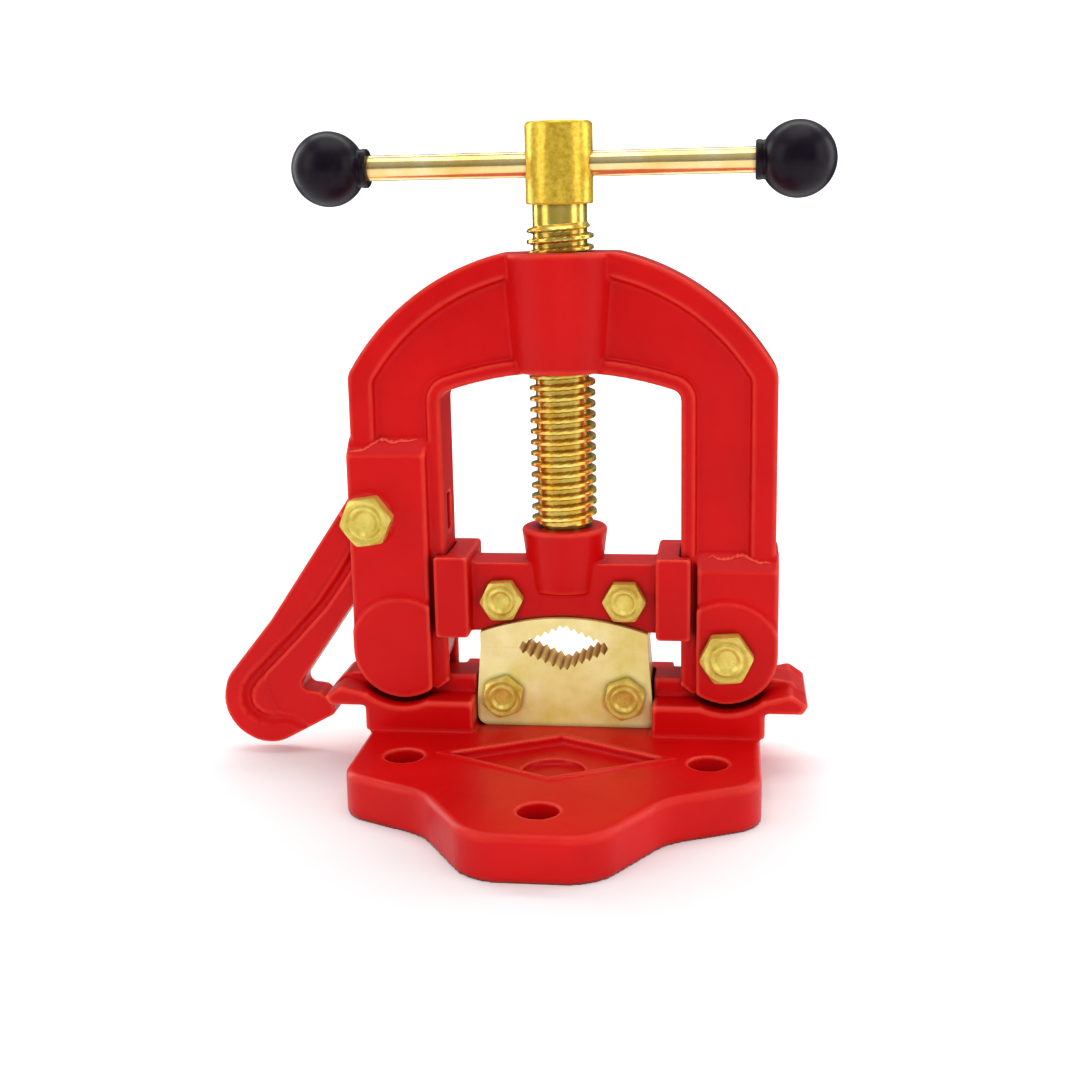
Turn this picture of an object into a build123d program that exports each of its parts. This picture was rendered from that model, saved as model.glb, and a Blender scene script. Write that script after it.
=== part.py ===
from build123d import *
import os
from math import cos, radians, sin, sqrt

# Hinged pipe vise. X runs to the right, Y to the back and Z up, in millimetres.
# The origin lies under the screw's axis, on the plane that the foot stands on.
# The yoke stands closed, the jaws are shut, and the hook hangs just clear of its nose.

# Clearances between pieces
running_gap = 0.05
slide_gap = 0.3
seat_gap = 2.0
jaw_seam = 0.4
pocket_gap = 0.3
bar_gap = 0.1
pin_gap = 0.4

# How far a cutting or joining shape reaches past a face
past = 1.0

# Foot of the base
foot_thick = 16.0
foot_past_hinge = 12.4
foot_rear = 21.0
foot_front = 112.0
side_lobe_front = 64.0
waist_inset = 31.4
waist_y = 79.0
front_lobe_half_width = 20.5
side_lobe_round = 14.0
waist_round = 24.0
front_lobe_round = 19.0
foot_edge_round = 2.5
bolt_hole_dia = 14.0
side_hole_inset = 18.4
side_hole_y = 45.5
front_hole_y = 91.0
centre_pocket_dia = 22.0
centre_pocket_y = 48.0
centre_pocket_deep = 2.2
diamond_half_width = 38.0
diamond_half_depth = 20.0
diamond_y = 43.0
diamond_deep = 3.0
diamond_rim_wide = 2.4
diamond_rim_proud = 0.6

# Body of the base, with a nose on each side
body_past_hinge = 14.0
body_half_depth = 21.0
body_top = 27.7
body_edge_round = 1.5
nose_tip_reach = 15.5
nose_tip_z = 28.8
nose_under = 25.5
nose_crest_reach = 9.5
nose_round = 2.0
lug_half_thick = 8.0
lug_radius = 16.0
lug_crest_reach = 10.0
lug_crest_z = 34.0
lug_shoulder_rise = 2.0
web_top = 34.5
rear_wall_past_jaw = 7.2
rear_wall_thick = 6.0
nut_pad_radius = 9.0

# Yoke
hinge_x = 60.0
leg_bottom = 27.5
open_angle = 75.0
stop_margin = 0.6
leg_end_radius = 18.5
ear_half_depth = 15.0
ear_boss_wider = 1.5
ear_boss_proud = 1.2
slot_length = 31.0
leg_past_hinge = 17.4
arch_past_legs = 11.6
arch_centre_z = 104.0
knee_round = 6.0
boss_top_half_width = 21.5
boss_foot_radius = 18.5
boss_top = 190.5
boss_bottom = 148.0
window_inset = 16.7
window_top = 148.5
window_arch_radius = 130.0
window_round = 4.0
rim_half_depth = 11.5
web_half_depth = 8.8
outer_rim = 9.3
inner_rim = 5.4
rim_round = 1.5
left_pad_top = 119.0
right_pad_top = 77.0
pad_run_out = 6.0
rail_tip_drop = 4.0
rail_bottom = 33.0
lug_slot_top = 18.0

# Latch hook
pivot_past_hinge = 10.4
pivot_z = 95.8
hook_half_depth = 7.2
pivot_boss_radius = 9.5
hook_head_radius = 11.6
hook_lean = 28.2
hook_rest_angle = 5.5
hook_rim_shift = (15.6, 9.0)
hook_sink = 1.2
hook_edge_round = 0.8
window_slot_half_height = 7.0
hook_slot_reach = 14.0

# Jaws
jaw_side_gap = 3.1
seam_z = 46.5
vee_half_width = 16.6
vee_depth = 7.3
tooth_count = 6
tooth_depth = 1.7
jaw_rear = 7.0
lower_jaw_front_y = 11.0
lower_jaw_flare = 1.6
lower_jaw_flare_z = 26.0
lower_jaw_bottom = 16.0
lower_jaw_corner = 4.0
upper_jaw_half_depth = 11.0
upper_jaw_side_top = 52.0
upper_jaw_crown = 57.7
tongue_half_thick = 5.0
tongue_inset = 1.7
tongue_top = 70.0

# Slider
travel = 54.0
slider_web_half_depth = 8.5
slider_web_top = 78.0
slider_end_width = 9.0
slider_end_bottom = 51.5
slider_end_top = 81.8
cheek_reach = 4.0
cheek_thick = 5.2
slider_boss_top = 90.7
slider_boss_radius = 16.0
slider_boss_foot_radius = 13.0
slider_boss_bottom = 67.0
slider_edge_round = 1.2

# Screw and handle
screw_dia = 24.0
screw_pitch = 4.0
screw_root_dia = 19.5
thread_crest = 1.3
thread_foot_share = 0.36
thread_sunk = 0.2
thread_top = 201.0
thread_bottom = 92.0
head_below_bar = 13.8
head_above_bar = 14.7
head_dia = 24.0
head_chamfer = 1.0
spigot_dia = 17.0
spigot_bottom = 74.3
pin_dia = 4.0
pin_length = 22.0
pin_z = 83.0
pin_groove_deep = 2.4
bar_dia = 9.0
bar_z = 220.8
bar_half_length = 80.0
bar_end_dia = 6.0
bar_end_length = 9.0
knob_dia = 26.6
knob_past_bar = 3.3
knob_collar_dia = 13.8
knob_collar_proud = 1.4

# Bolts and nuts: thread, width across flats and height of the head
jaw_bolt_dia = 8.0
jaw_bolt_flats = 14.0
jaw_bolt_head = 5.3
jaw_nut_height = 6.5
jaw_bolt_inset = 8.5
upper_bolt_z = 64.5
lower_bolt_z = 28.0
pivot_bolt_dia = 10.0
pivot_bolt_flats = 17.0
pivot_bolt_head = 6.4
pivot_nut_height = 8.0
washer_dia = 20.0
washer_thick = 1.6
thread_proud = 2.0
head_dish_dia_share = 0.5
head_dish_deep = 0.8
lower_bolt_turn = 20.0
pivot_bolt_turn = 8.0

# Places that follow from the sizes above
foot_top = foot_thick
hinge_z = leg_bottom + leg_end_radius
ear_boss_radius = leg_end_radius + ear_boss_wider
head_bottom = bar_z - head_below_bar
head_top = bar_z + head_above_bar
foot_half_width = hinge_x + foot_past_hinge
waist_x = foot_half_width - waist_inset
side_hole_x = foot_half_width - side_hole_inset
body_half_width = hinge_x + body_past_hinge
nose_tip_x = body_half_width + nose_tip_reach
nose_crest_x = body_half_width + nose_crest_reach
lug_crest_x = body_half_width + lug_crest_reach
leg_half_span = hinge_x + leg_past_hinge
arch_radius = leg_half_span + arch_past_legs
window_half_width = hinge_x - window_inset
pivot_x = hinge_x + pivot_past_hinge
slider_end_inner = window_half_width - slider_end_width
jaw_half_width = slider_end_inner - jaw_side_gap
lower_jaw_foot_half_width = jaw_half_width + lower_jaw_flare
rear_wall_half_width = lower_jaw_foot_half_width + rear_wall_past_jaw
tongue_half_width = jaw_half_width - tongue_inset
jaw_bolt_x = jaw_half_width - jaw_bolt_inset
knob_x = bar_half_length + knob_past_bar
tooth_gap_clear = jaw_seam / 2
jaw_floor = seam_z - tooth_gap_clear
jaw_roof = seam_z + tooth_gap_clear
slider_half_width = window_half_width - slide_gap
cheek_inner = rim_half_depth + slide_gap
cheek_outer = cheek_inner + cheek_thick
lug_slot_half = lug_half_thick + slide_gap
hook_slot_half = hook_half_depth + slide_gap
ear_face = ear_half_depth + ear_boss_proud
seat_radius = leg_end_radius + seat_gap
rear_wall_front = jaw_rear + pocket_gap
rear_wall_back = rear_wall_front + rear_wall_thick
pin_x = spigot_dia / 2 - pin_groove_deep + pin_dia / 2 + pin_gap
pin_rear = pin_length / 2


def slab(left, right, front, back, low, high):
    """A box between six planes."""
    size = (right - left, back - front, high - low)
    middle = ((left + right) / 2, (front + back) / 2, (low + high) / 2)
    return Pos(*middle) * Box(*size)


def front_view(outline, half_depth):
    """Thicken a face drawn in X and Z evenly to the front and the back."""
    return extrude(Plane.XZ * outline, amount=half_depth, both=True)


def along_y(radius, front, back, x=0.0, z=0.0):
    """A round bar from front to back."""
    length = back - front
    return Pos(x, front + length / 2, z) * Rot(90, 0, 0) * Cylinder(radius, length)


def along_z(radius, low, high, x=0.0, y=0.0):
    """An upright round bar."""
    return Pos(x, y, (low + high) / 2) * Cylinder(radius, high - low)


def stop_line_point(along):
    """A point, seen from the front, on the line where the open leg's outer face comes to lie."""
    turn = radians(open_angle + stop_margin)
    off = leg_end_radius
    x = hinge_x + off * cos(turn) + along * sin(turn)
    z = hinge_z - off * sin(turn) + along * cos(turn)
    return x, z


def stop_line_at(x):
    """The same line's point at one X."""
    turn = radians(open_angle + stop_margin)
    along = (x - hinge_x - leg_end_radius * cos(turn)) / sin(turn)
    return stop_line_point(along)


def thick_half():
    """The right half of the thick body with its nose, as a face in X and Z."""
    seat_end = stop_line_point(sqrt(seat_radius**2 - leg_end_radius**2))
    crest = stop_line_at(nose_crest_x)
    seat_start_x = hinge_x - sqrt(seat_radius**2 - (hinge_z - body_top) ** 2)
    seat_low = (hinge_x, hinge_z - seat_radius)
    with BuildSketch() as half:
        with BuildLine():
            Line((0, foot_top), (body_half_width, foot_top))
            Line((body_half_width, foot_top), (body_half_width, nose_under))
            Line((body_half_width, nose_under), (nose_tip_x - nose_round, nose_under))
            nose_end = (nose_tip_x, nose_tip_z)
            Line((nose_tip_x - nose_round, nose_under), nose_end)
            Line(nose_end, crest)
            Line(crest, seat_end)
            ThreePointArc(seat_end, seat_low, (seat_start_x, body_top))
            Line((seat_start_x, body_top), (0, body_top))
            Line((0, body_top), (0, foot_top))
        make_face()
    return half.sketch


def lug_half():
    """The right lug and the low web beside it, as a face in X and Z."""
    lug = Pos(hinge_x, hinge_z) * Circle(lug_radius)
    shoulder_z = lug_crest_z + lug_shoulder_rise
    shoulder = (hinge_x + sqrt(lug_radius**2 - (hinge_z - shoulder_z) ** 2), shoulder_z)
    tip = (nose_tip_x, nose_tip_z)
    under = (nose_tip_x - nose_round, nose_under)
    nose = make_face(
        Polyline((hinge_x, nose_under), (hinge_x, hinge_z), shoulder,
                 (lug_crest_x, lug_crest_z), tip, under, close=True)
    )
    web_inner = rear_wall_half_width / 2
    web = Pos((hinge_x + web_inner) / 2, (web_top + foot_top) / 2) * Rectangle(
        hinge_x - web_inner, web_top - foot_top
    )
    return lug + nose + web


def foot_plate():
    """The three-lobed foot plate with rounded edges, three bolt holes and the sunk diamond."""
    right = [(foot_half_width, foot_rear), (foot_half_width, -side_lobe_front),
             (waist_x, -waist_y), (front_lobe_half_width, -foot_front)]
    left = [(-x, y) for x, y in reversed(right)]
    rounds = [side_lobe_round, waist_round, front_lobe_round]
    corners = FilletPolyline(*right, *left, radius=rounds + rounds[::-1])
    rear_edge = Line(left[-1], right[0])
    plate = extrude(make_face([corners, rear_edge]), amount=foot_thick)
    rear_front = foot_rear - foot_edge_round / 2
    rims = plate.edges().group_by(Axis.Z)[-1].filter_by(lambda edge: edge.center().Y < rear_front)
    plate = fillet(rims, foot_edge_round)
    for x, y in ((-side_hole_x, side_hole_y), (side_hole_x, side_hole_y), (0, front_hole_y)):
        plate -= along_z(bolt_hole_dia / 2, -past, foot_thick + past, x, -y)
    diamond = make_face(
        Polyline((-diamond_half_width, 0), (0, -diamond_half_depth), (diamond_half_width, 0),
                 (0, diamond_half_depth), close=True)
    )
    rim = extrude(offset(diamond, diamond_rim_wide, kind=Kind.INTERSECTION),
                  amount=diamond_deep + diamond_rim_proud)
    plate += Pos(0, -diamond_y, foot_thick - diamond_deep) * rim
    recess = extrude(diamond, amount=diamond_deep + diamond_rim_proud + past)
    plate -= Pos(0, -diamond_y, foot_thick - diamond_deep) * recess
    diamond_floor = foot_thick - diamond_deep
    plate -= along_z(centre_pocket_dia / 2, diamond_floor - centre_pocket_deep, diamond_floor + past,
                     0, -centre_pocket_y)
    return plate


def base_casting():
    """Thick body, noses, lugs and the pocket of the lower jaw, standing on the foot's top face."""
    half = thick_half()
    thick = front_view(half + mirror(half, about=Plane.YZ), body_half_depth)
    rim_edges = (thick.edges().group_by(Axis.Y)[0] + thick.edges().group_by(Axis.Y)[-1]).filter_by(
        lambda edge: edge.center().Z > foot_top
    )
    thick = fillet(rim_edges, body_edge_round)
    lug = lug_half()
    thin = front_view(lug + mirror(lug, about=Plane.YZ), lug_half_thick)
    wall = slab(-rear_wall_half_width, rear_wall_half_width, rear_wall_front, rear_wall_back,
                body_top - past, web_top)
    casting = thick + thin + wall
    pocket_half = lower_jaw_foot_half_width + pocket_gap
    casting -= slab(-pocket_half, pocket_half, -body_half_depth - past, rear_wall_front,
                    foot_top, web_top + past)
    for side in (-1, 1):
        casting += along_y(nut_pad_radius, rear_wall_front, body_half_depth, side * jaw_bolt_x,
                           lower_bolt_z)
        casting -= along_y(jaw_bolt_dia / 2, 0, body_half_depth + past, side * jaw_bolt_x, lower_bolt_z)
    casting -= along_y(pivot_bolt_dia / 2 + running_gap, -lug_half_thick - past, lug_half_thick + past,
                       hinge_x, hinge_z)
    return casting


def vee(sign, start):
    """Points of the toothed vee, from left to right; sign -1 sinks it below start, 1 raises it."""
    points = []
    step = vee_half_width / tooth_count
    for side in (-1, 1):
        flank = []
        for tooth in range(tooth_count):
            out = vee_half_width - step * tooth
            middle = out - step / 2
            flank.append((side * out, start + sign * vee_depth * (1 - out / vee_half_width)))
            valley = vee_depth * (1 - middle / vee_half_width) + tooth_depth
            flank.append((side * middle, start + sign * valley))
        points += flank if side < 0 else [(0, start + sign * vee_depth)] + flank[::-1]
    return points


def lower_jaw():
    """The lower jaw block: a toothed vee on top, a slightly wider foot and two bolt holes."""
    outline = make_face(
        Polyline((-lower_jaw_foot_half_width, lower_jaw_bottom),
                 (-lower_jaw_foot_half_width, lower_jaw_flare_z), (-jaw_half_width, jaw_floor),
                 *vee(-1, jaw_floor), (jaw_half_width, jaw_floor),
                 (lower_jaw_foot_half_width, lower_jaw_flare_z),
                 (lower_jaw_foot_half_width, lower_jaw_bottom), close=True)
    )
    left_corner = outline.vertices().group_by(Axis.Y)[0].sort_by(Axis.X)[0]
    outline = fillet(left_corner, lower_jaw_corner)
    depth = lower_jaw_front_y + jaw_rear
    block = Pos(0, jaw_rear, 0) * extrude(Plane.XZ * outline, amount=depth)
    for hand in (-1, 1):
        block -= along_y(jaw_bolt_dia / 2, -lower_jaw_front_y - past, jaw_rear + past,
                         hand * jaw_bolt_x, lower_bolt_z)
    return block


def crown(half_width, side_z, crown_z):
    """A shallow arch from side to side as a three-point arc."""
    return ThreePointArc((half_width, side_z), (0, crown_z), (-half_width, side_z))


def upper_jaw():
    """The upper jaw block: toothed vee below, arched shoulders and a tongue that the bolts cross."""
    arch = crown(jaw_half_width, upper_jaw_side_top, upper_jaw_crown)
    sides = Polyline((-jaw_half_width, upper_jaw_side_top), (-jaw_half_width, jaw_roof),
                     *vee(1, jaw_roof), (jaw_half_width, jaw_roof),
                     (jaw_half_width, upper_jaw_side_top))
    block = front_view(make_face([arch, sides]), upper_jaw_half_depth)
    tongue_low = upper_jaw_side_top - past
    tongue = front_view(make_face([
        crown(jaw_half_width, tongue_low, upper_jaw_crown - past),
        Polyline((-jaw_half_width, tongue_low), (-jaw_half_width, tongue_top),
                 (jaw_half_width, tongue_top), (jaw_half_width, tongue_low)),
    ]), tongue_half_thick)
    block += tongue & slab(-tongue_half_width, tongue_half_width, -upper_jaw_half_depth,
                           upper_jaw_half_depth, jaw_roof, tongue_top)
    for hand in (-1, 1):
        block -= along_y(jaw_bolt_dia / 2, -tongue_half_thick - past, tongue_half_thick + past,
                         hand * jaw_bolt_x, upper_bolt_z)
    return block


def slider_casting():
    """The cross slide: web over the upper jaw, channels round the legs and the screw's boss."""
    half = slider_half_width
    web_face = make_face([
        crown(jaw_half_width, upper_jaw_side_top, upper_jaw_crown),
        Polyline((-jaw_half_width, upper_jaw_side_top), (-half, upper_jaw_side_top),
                 (-half, slider_web_top), (half, slider_web_top), (half, upper_jaw_side_top),
                 (jaw_half_width, upper_jaw_side_top)),
    ])
    casting = front_view(web_face, slider_web_half_depth)
    for side in (-1, 1):
        inner, outer = sorted((side * slider_end_inner, side * (half + cheek_reach)))
        end = slab(inner, outer, -cheek_outer, cheek_outer, slider_end_bottom, slider_end_top)
        upright = end.edges().filter_by(Axis.Y) + end.edges().filter_by(Axis.Z)
        end = fillet(upright, slider_edge_round)
        groove = sorted((side * half, side * (half + cheek_reach + past)))
        end -= slab(*groove, -cheek_inner, cheek_inner, slider_end_bottom - past, slider_end_top + past)
        casting += end
    boss = Pos(0, 0, (slider_boss_top + slider_boss_bottom) / 2) * Cone(
        slider_boss_foot_radius, slider_boss_radius, slider_boss_top - slider_boss_bottom
    )
    casting += fillet(boss.edges(), slider_edge_round)
    groove_half = tongue_half_thick + running_gap
    casting -= slab(-tongue_half_width - pocket_gap, tongue_half_width + pocket_gap,
                    -groove_half, groove_half, slider_end_bottom - past, tongue_top + pocket_gap)
    casting -= along_z(spigot_dia / 2 + running_gap, spigot_bottom - slide_gap, slider_boss_top + past)
    for side in (-1, 1):
        casting -= along_y(jaw_bolt_dia / 2, -slider_web_half_depth - past, slider_web_half_depth + past,
                           side * jaw_bolt_x, upper_bolt_z)
        casting -= along_y(pin_dia / 2, pin_rear - pin_length, pin_rear + slider_boss_radius,
                           side * pin_x, pin_z)
    return casting


def retaining_pin(side):
    """One of the two pins that lie across the groove in the screw's end."""
    return along_y(pin_dia / 2, pin_rear - pin_length, pin_rear, side * pin_x, pin_z)


def arch_face(inset, low):
    """The arch and its legs seen from the front, down to one level, with all sides set in."""
    half = leg_half_span - inset
    radius = arch_radius - inset
    top = arch_centre_z + radius
    band = Pos(0, (low + top) / 2) * Rectangle(2 * half, top - low)
    legs = Pos(0, (low + arch_centre_z) / 2) * Rectangle(2 * half, arch_centre_z - low)
    shape = (Pos(0, arch_centre_z) * Circle(radius) & band) + legs
    knees = shape.vertices().filter_by(lambda corner: corner.Y > arch_centre_z + past)
    return fillet(knees, knee_round)


def window(grow, bottom):
    """The opening under the arch, grown outwards by one distance and open below."""
    half = window_half_width + grow
    radius = window_arch_radius + grow
    side_z = window_top - window_arch_radius + sqrt(radius**2 - half**2)
    shape = make_face([
        crown(half, side_z, window_top + grow),
        Polyline((-half, side_z), (-half, bottom), (half, bottom), (half, side_z)),
    ])
    corners = shape.vertices().group_by(Axis.Y)[1]
    return fillet(corners, window_round + grow)


def soft_rims(solid, radius):
    """Round the front and back edges of a flat piece."""
    edges = solid.edges().group_by(Axis.Y)[0] + solid.edges().group_by(Axis.Y)[-1]
    return fillet(edges, radius)


def yoke_casting():
    """The arch with its rims, the screw's boss, the legs' forked ends and the hook's pocket."""
    arch = arch_face(0, hinge_z)
    opening = window(0, hinge_z - leg_end_radius - past)
    casting = front_view(arch - opening, web_half_depth)
    outer_band = arch - arch_face(outer_rim, hinge_z - past)
    casting += soft_rims(front_view(outer_band, rim_half_depth), rim_round)
    inner_band = window(inner_rim, rail_bottom) - opening
    casting += soft_rims(front_view(inner_band, rim_half_depth), rim_round)
    for side, pad_top in ((-1, left_pad_top), (1, right_pad_top)):
        rail = side * window_half_width
        rail_out = side * (window_half_width + inner_rim)
        tail = make_face(
            Polyline((rail, rail_bottom + past), (rail, rail_bottom),
                     (rail_out, rail_bottom - rail_tip_drop), (rail_out, rail_bottom + past), close=True)
        )
        casting += front_view(tail, rim_half_depth)
        inner, outer = sorted((side * (window_half_width + inner_rim + slide_gap),
                               side * (hinge_x + leg_end_radius)))
        pad = make_face(
            Polyline((-ear_half_depth, hinge_z), (-ear_half_depth, pad_top),
                     (-web_half_depth, pad_top + pad_run_out), (web_half_depth, pad_top + pad_run_out),
                     (ear_half_depth, pad_top), (ear_half_depth, hinge_z), close=True)
        )
        block = Pos(inner, 0, 0) * extrude(Plane.YZ * pad, amount=outer - inner)
        casting += fillet(block.edges().filter_by(Axis.Z), rim_round)
        keep = slab(inner, outer, -ear_face, ear_face, 0, pad_top)
        end = along_y(leg_end_radius, -ear_face, ear_face, side * hinge_x, hinge_z)
        round_end = along_y(leg_end_radius, -ear_half_depth, ear_half_depth, side * hinge_x, hinge_z)
        upper = slab(inner, outer, -ear_face, ear_face, hinge_z, pad_top)
        disc = along_y(ear_boss_radius, -ear_face, ear_face, side * hinge_x, hinge_z) & upper
        casting += (round_end + end + disc) & keep
        reach = slot_length if side > 0 else lug_slot_top
        casting -= slab(inner - inner_rim - past, outer + inner_rim + past, -lug_slot_half, lug_slot_half,
                        hinge_z - leg_end_radius - past, hinge_z + reach)
    pivot_boss = along_y(pivot_boss_radius, -ear_face, ear_face, -pivot_x, pivot_z)
    casting += pivot_boss & slab(-hinge_x - leg_end_radius, -hinge_x + leg_end_radius,
                                 -ear_face, ear_face, 0, left_pad_top)
    slot_inner = -pivot_x + hook_slot_reach
    casting -= slab(-leg_half_span - leg_end_radius, slot_inner, -hook_slot_half, hook_slot_half,
                    hinge_z, pivot_z + hook_slot_reach)
    casting -= slab(slot_inner - past, -window_half_width + past, -hook_slot_half / 2, hook_slot_half / 2,
                    pivot_z - window_slot_half_height, pivot_z + window_slot_half_height)
    boss = Pos(0, 0, (boss_top + boss_bottom) / 2) * Cone(
        boss_foot_radius, boss_top_half_width, boss_top - boss_bottom
    )
    casting += fillet(boss.edges(), rim_round)
    casting -= slab(-leg_half_span, leg_half_span, -leg_half_span, leg_half_span, boss_top,
                    arch_centre_z + arch_radius + past)
    casting -= along_z(screw_dia / 2 + slide_gap, boss_bottom - past, boss_top + past)
    for x, z in ((hinge_x, hinge_z), (-pivot_x, pivot_z)):
        casting -= along_y(pivot_bolt_dia / 2, -ear_face - past, ear_face + past, x, z)
    return casting


# Corners of the latched hook, counted from its pivot, from the arm's outer side round to its inner side
hook_corners = [(-38.1, -45.3), (-56.6, -73.3), (-48.1, -94.8), (-33.1, -94.8),
                (-11.6, -80.3), (-12.1, -76.3), (-17.6, -72.2), (-27.2, -72.2), (-10.1, -41.7)]
hook_rounds = [30.0, 12.0, 14.0, 14.0, 1.0, 2.0, 2.0, 3.0, 20.0]


def hook_outline():
    """The latched hook seen from the front: a round head, a leaning arm and a lip turned inwards."""
    across_x = hook_head_radius * cos(radians(hook_lean))
    across_z = hook_head_radius * sin(radians(hook_lean))
    path = FilletPolyline((-across_x, across_z), *hook_corners, (across_x, -across_z),
                          radius=hook_rounds)
    head = ThreePointArc((across_x, -across_z), (across_z, across_x), (-across_x, across_z))
    return make_face([path, head])


def latch_hook():
    """The hook, swung out from the latched place so that its lip just clears the nose."""
    outline = hook_outline()
    solid = soft_rims(front_view(outline, hook_half_depth), hook_edge_round)
    hollow = front_view(outline & Pos(*hook_rim_shift) * outline, hook_half_depth + past)
    core = front_view(outline, hook_half_depth - hook_sink)
    solid -= hollow - core
    solid -= along_y(pivot_bolt_dia / 2 + running_gap, -hook_half_depth - past,
                     hook_half_depth + past)
    return Pos(-pivot_x, 0, pivot_z) * Rot(0, hook_rest_angle, 0) * solid


def thread_ridge():
    """One right-handed ridge of trapezoid section wound round the root of the screw."""
    low = thread_bottom + screw_pitch / 2
    height = thread_top - low - screw_pitch / 2
    root = screw_root_dia / 2 - thread_sunk
    path = Pos(0, 0, low) * Helix(pitch=screw_pitch, height=height, radius=root)
    ridge_deep = screw_dia / 2 - root
    root_half = screw_pitch * thread_foot_share
    section = make_face(
        Polyline((0, -root_half), (ridge_deep, -thread_crest / 2), (ridge_deep, thread_crest / 2),
                 (0, root_half), close=True)
    )
    place = Plane(origin=(root, 0, low), x_dir=(1, 0, 0), z_dir=(0, 1, 0))
    return sweep(place * mirror(section, about=Plane.XZ), path=path, is_frenet=True)


def screw():
    """The screw: cross-drilled head, neck, trapezoid thread and a grooved plain end."""
    body = along_z(head_dia / 2, head_bottom, head_top)
    body = chamfer(body.edges().group_by(Axis.Z)[-1], head_chamfer)
    body += along_z(screw_root_dia / 2, thread_bottom, head_bottom)
    body += along_z(spigot_dia / 2, spigot_bottom, thread_bottom)
    groove_half = pin_dia / 2 + pin_gap
    neck = spigot_dia / 2 - pin_groove_deep
    ring = along_z(spigot_dia / 2 + past, pin_z - groove_half, pin_z + groove_half)
    body -= ring - along_z(neck, pin_z - groove_half, pin_z + groove_half)
    body += thread_ridge()
    bar_hole = Pos(0, 0, bar_z) * Rot(0, 90, 0) * Cylinder(bar_dia / 2 + bar_gap, head_dia + 2)
    return body - bar_hole


def along_handle(radius, side, near, far):
    """A round bar on the handle's line between two distances from the screw's axis."""
    return Pos(side * (near + far) / 2, 0, bar_z) * Rot(0, 90, 0) * Cylinder(radius, far - near)


def handle_bar():
    """The plain bar with a thinner end in each knob."""
    bar = Cylinder(bar_dia / 2, 2 * bar_half_length - 2 * bar_end_length)
    bar += Cylinder(bar_end_dia / 2, 2 * bar_half_length)
    return Pos(0, 0, bar_z) * Rot(0, 90, 0) * bar


def knob(side):
    """A ball knob with a short collar towards the head, bored for the bar's end."""
    shape = Pos(side * knob_x, 0, bar_z) * Sphere(knob_dia / 2)
    collar_face = knob_x - knob_dia / 2 - knob_collar_proud
    shoulder = bar_half_length - bar_end_length
    shape += along_handle(knob_collar_dia / 2, side, collar_face, knob_x)
    bore = along_handle(bar_dia / 2, side, collar_face, shoulder)
    deep = along_handle(bar_end_dia / 2, side, shoulder - past, bar_half_length)
    return shape - bore - deep


def bolt(x, z, face, end, dia, flats, head, turn):
    """A hexagon bolt put in from the front: head against the face, shank to the end plane."""
    hexed = extrude(Rot(0, 0, turn) * RegularPolygon(flats / 2, 6, major_radius=False), amount=head)
    hexed -= Pos(0, 0, head) * Cylinder(flats / 2 * head_dish_dia_share, head_dish_deep * 2)
    shape = Pos(x, face, z) * Rot(90, 0, 0) * hexed
    return shape + along_y(dia / 2, face - head / 2, end, x, z)


def nut(x, z, face, dia, flats, height):
    """A hexagon nut at the back, seated on the face plane."""
    prism = extrude(RegularPolygon(flats / 2, 6, major_radius=False), amount=height)
    prism -= Cylinder(dia / 2, height * 3)
    return Pos(x, face + height, z) * Rot(90, 0, 0) * prism


def washer(x, z, face, dia):
    """A flat washer at the back."""
    ring = along_y(washer_dia / 2, face, face + washer_thick, x, z)
    return ring - along_y(dia / 2, face - past, face + washer_thick + past, x, z)


def write(name, shape):
    """Write one sub-part."""
    export_step(shape, "parts/" + name + ".step")


os.makedirs("parts", exist_ok=True)
write("foot_plate", foot_plate())
write("base_casting", base_casting())
write("lower_jaw", lower_jaw())
write("yoke_casting", yoke_casting())
write("latch_hook", latch_hook())
write("slider_casting", slider_casting())
write("upper_jaw", upper_jaw())
write("screw", screw())
write("handle_bar", handle_bar())
jaw_bolts = (("lower_jaw", lower_bolt_z, -lower_jaw_front_y, body_half_depth, lower_bolt_turn),
             ("upper_jaw", upper_bolt_z, -slider_web_half_depth, slider_web_half_depth, 0.0))
for hand, side in (("left", -1), ("right", 1)):
    write("knob_" + hand, knob(side))
    write("screw_retaining_pin_" + hand, retaining_pin(side))
    for jaw, z, front, back, turn in jaw_bolts:
        end = back + jaw_nut_height + thread_proud
        write(jaw + "_bolt_" + hand,
              bolt(side * jaw_bolt_x, z, front, end, jaw_bolt_dia, jaw_bolt_flats, jaw_bolt_head, turn))
        write(jaw + "_nut_" + hand,
              nut(side * jaw_bolt_x, z, back, jaw_bolt_dia, jaw_bolt_flats, jaw_nut_height))
for name, x, z in (("hinge", hinge_x, hinge_z), ("hook_pivot", -pivot_x, pivot_z)):
    nut_face = ear_face + washer_thick
    end = nut_face + pivot_nut_height + thread_proud
    write(name + "_bolt", bolt(x, z, -ear_face, end, pivot_bolt_dia, pivot_bolt_flats, pivot_bolt_head,
                               pivot_bolt_turn))
    write(name + "_washer", washer(x, z, ear_face, pivot_bolt_dia))
    write(name + "_nut", nut(x, z, nut_face, pivot_bolt_dia, pivot_bolt_flats, pivot_nut_height))
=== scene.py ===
# %% [markdown]
# # A yoke pipe vise
#
# The vise is an iron arch, hinged to a foot on its right and held by a hook on
# its left. A screw through the arch presses a toothed jaw down on the pipe.
# The CAD model has every piece at its place and size. This scene gives it what
# a CAD model lacks: the soft edges of a casting, enamel, plating and a real
# thread. Every length is in metres, so `mm` turns millimetres into them.

import bmesh
import bpy
import numpy as np
from mathutils import Matrix, Vector


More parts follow.
